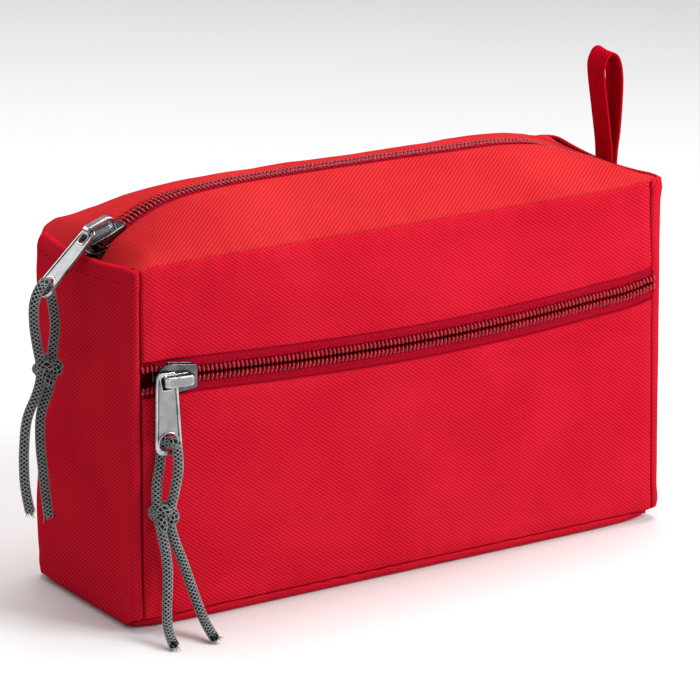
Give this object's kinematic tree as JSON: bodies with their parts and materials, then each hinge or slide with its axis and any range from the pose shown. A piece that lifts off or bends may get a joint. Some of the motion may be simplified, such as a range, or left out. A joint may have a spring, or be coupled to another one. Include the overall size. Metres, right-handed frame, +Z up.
{
  "type": "first aid kit pouch",
  "caption": "Soft zip pouch first aid kit with a zipped front pocket, metal sliders with corded pulls, a hanging loop and dressings inside.",
  "frame": {"origin": "centre of the pouch's base, on the surface that it stands on", "axes": "+X along the width towards the hanging loop, +Y to the rear, away from the front pocket, +Z up"},
  "size_m": [0.2693, 0.1009, 0.185],
  "materials": {
    "red_cloth": "satin",
    "red_lining": "matte",
    "red_coil": "satin",
    "red_tape": "matte",
    "nickel": "polished",
    "braided_cord": "matte",
    "red_ribbon": "satin",
    "gauze": "matte",
    "tape_cloth": "matte",
    "roll_card": "matte",
    "box_card": "satin",
    "pack_paper": "matte",
    "sachet_foil": "satin",
    "bandage_cotton": "matte",
    "clear_film": "gloss",
    "blanket_film": "gloss",
    "tool_steel": "satin",
    "pocket_mesh": "matte",
    "elastic": "matte"
  },
  "bodies": {
    "bag": {"bottom_panel": "red_cloth", "back_panel": "red_cloth", "pocket_inner_wall": "red_lining", "left_end_panel": "red_cloth", "right_end_panel": "red_cloth", "front_upper_panel": "red_cloth", "front_lower_panel": "red_cloth", "top_front_panel_ends": "red_cloth", "top_rear_panel_ends": "red_cloth", "top_front_coil_ends": "red_coil", "top_rear_coil_ends": "red_coil", "top_front_tape_ends": "red_tape", "top_rear_tape_ends": "red_tape", "front_lower_coil": "red_coil", "front_upper_coil": "red_coil", "front_lower_tape": "red_tape", "front_upper_tape": "red_tape", "inner_pocket": "pocket_mesh", "inner_pocket_elastic": "elastic", "gauze_roll_large": "gauze", "gauze_roll_small": "gauze", "adhesive_tape_roll": "tape_cloth", "tape_roll_core": "roll_card", "plaster_box": "box_card", "sterile_dressings": "pack_paper", "wipe_sachets": "sachet_foil", "triangular_bandage": "bandage_cotton", "glove_pack": "clear_film", "rescue_blanket": "blanket_film", "tweezers": "tool_steel"},
    "top_front_flap": {"top_front_panel": "red_cloth", "top_front_coil": "red_coil", "top_front_tape": "red_tape"},
    "top_rear_flap": {"top_rear_panel": "red_cloth", "top_rear_coil": "red_coil", "top_rear_tape": "red_tape"},
    "top_slider": {"top_slider_shell": "nickel", "top_slider_bridge": "nickel"},
    "top_pull": {"top_pull_tab": "nickel"},
    "top_cord": {"top_cord_outer_half": "braided_cord", "top_cord_inner_half": "braided_cord", "top_cord_knot": "braided_cord"},
    "front_slider": {"front_slider_shell": "nickel", "front_slider_bridge": "nickel"},
    "front_pull": {"front_pull_tab": "nickel"},
    "front_cord": {"front_cord_outer_half": "braided_cord", "front_cord_inner_half": "braided_cord", "front_cord_knot": "braided_cord"},
    "hang_loop": {"hang_loop_ribbon": "red_ribbon"}
  },
  "joints": [
    {"name": "top_slider_travel", "type": "hinge", "parent": "bag", "child": "top_slider", "pos_m": [0, 0, -0.1593], "axis": [0, 1, 0], "range_deg": [0, 37.94], "deforming": ["top_front_coil", "top_front_tape", "top_rear_coil", "top_rear_tape", "top_front_coil_ends", "top_rear_coil_ends", "top_front_tape_ends", "top_rear_tape_ends", "top_cord_outer_half", "top_cord_inner_half", "top_cord_knot"]},
    {"name": "top_pull_swing", "type": "hinge", "parent": "top_slider", "child": "top_pull", "pos_m": [-0.11576, 0, 0.14442], "axis": [0, 1, 0], "range_deg": [0, 85]},
    {"name": "top_cord_hang", "type": "hinge", "parent": "top_pull", "child": "top_cord", "pos_m": [-0.13421, 0, 0.12653], "axis": [0, 1, 0], "range_deg": [-85, 0]},
    {"name": "front_slider_travel", "type": "hinge", "parent": "bag", "child": "front_slider", "pos_m": [0, 0.93579, 0.0975], "axis": [0, 0, 1], "range_deg": [0, 12.17]},
    {"name": "front_pull_swing", "type": "hinge", "parent": "front_slider", "child": "front_pull", "pos_m": [-0.11023, -0.04373, 0.0975], "axis": [-0.106, -0.9944, 0], "range_deg": [-85, 50]},
    {"name": "front_cord_hang", "type": "hinge", "parent": "front_pull", "child": "front_cord", "pos_m": [-0.10988, -0.04512, 0.07441], "axis": [-0.106, -0.9944, 0], "range_deg": [-50, 85]},
    {"name": "top_front_flap_lift", "type": "hinge", "parent": "bag", "child": "top_front_flap", "pos_m": [0, -0.0381, 0.1399], "axis": [1, 0, 0], "range_deg": [0, 60]},
    {"name": "top_rear_flap_lift", "type": "hinge", "parent": "bag", "child": "top_rear_flap", "pos_m": [0, 0.0381, 0.1399], "axis": [-1, 0, 0], "range_deg": [0, 60]},
    {"name": "hang_loop_fold", "type": "hinge", "parent": "bag", "child": "hang_loop", "pos_m": [0.1195, 0, 0.1416], "axis": [0, 1, 0], "range_deg": [-25, 100]}
  ],
  "couplings": [
    {"joint": "top_cord_hang", "follows": "top_pull_swing", "ratio": -1},
    {"joint": "front_cord_hang", "follows": "front_pull_swing", "ratio": -1}
  ]
}
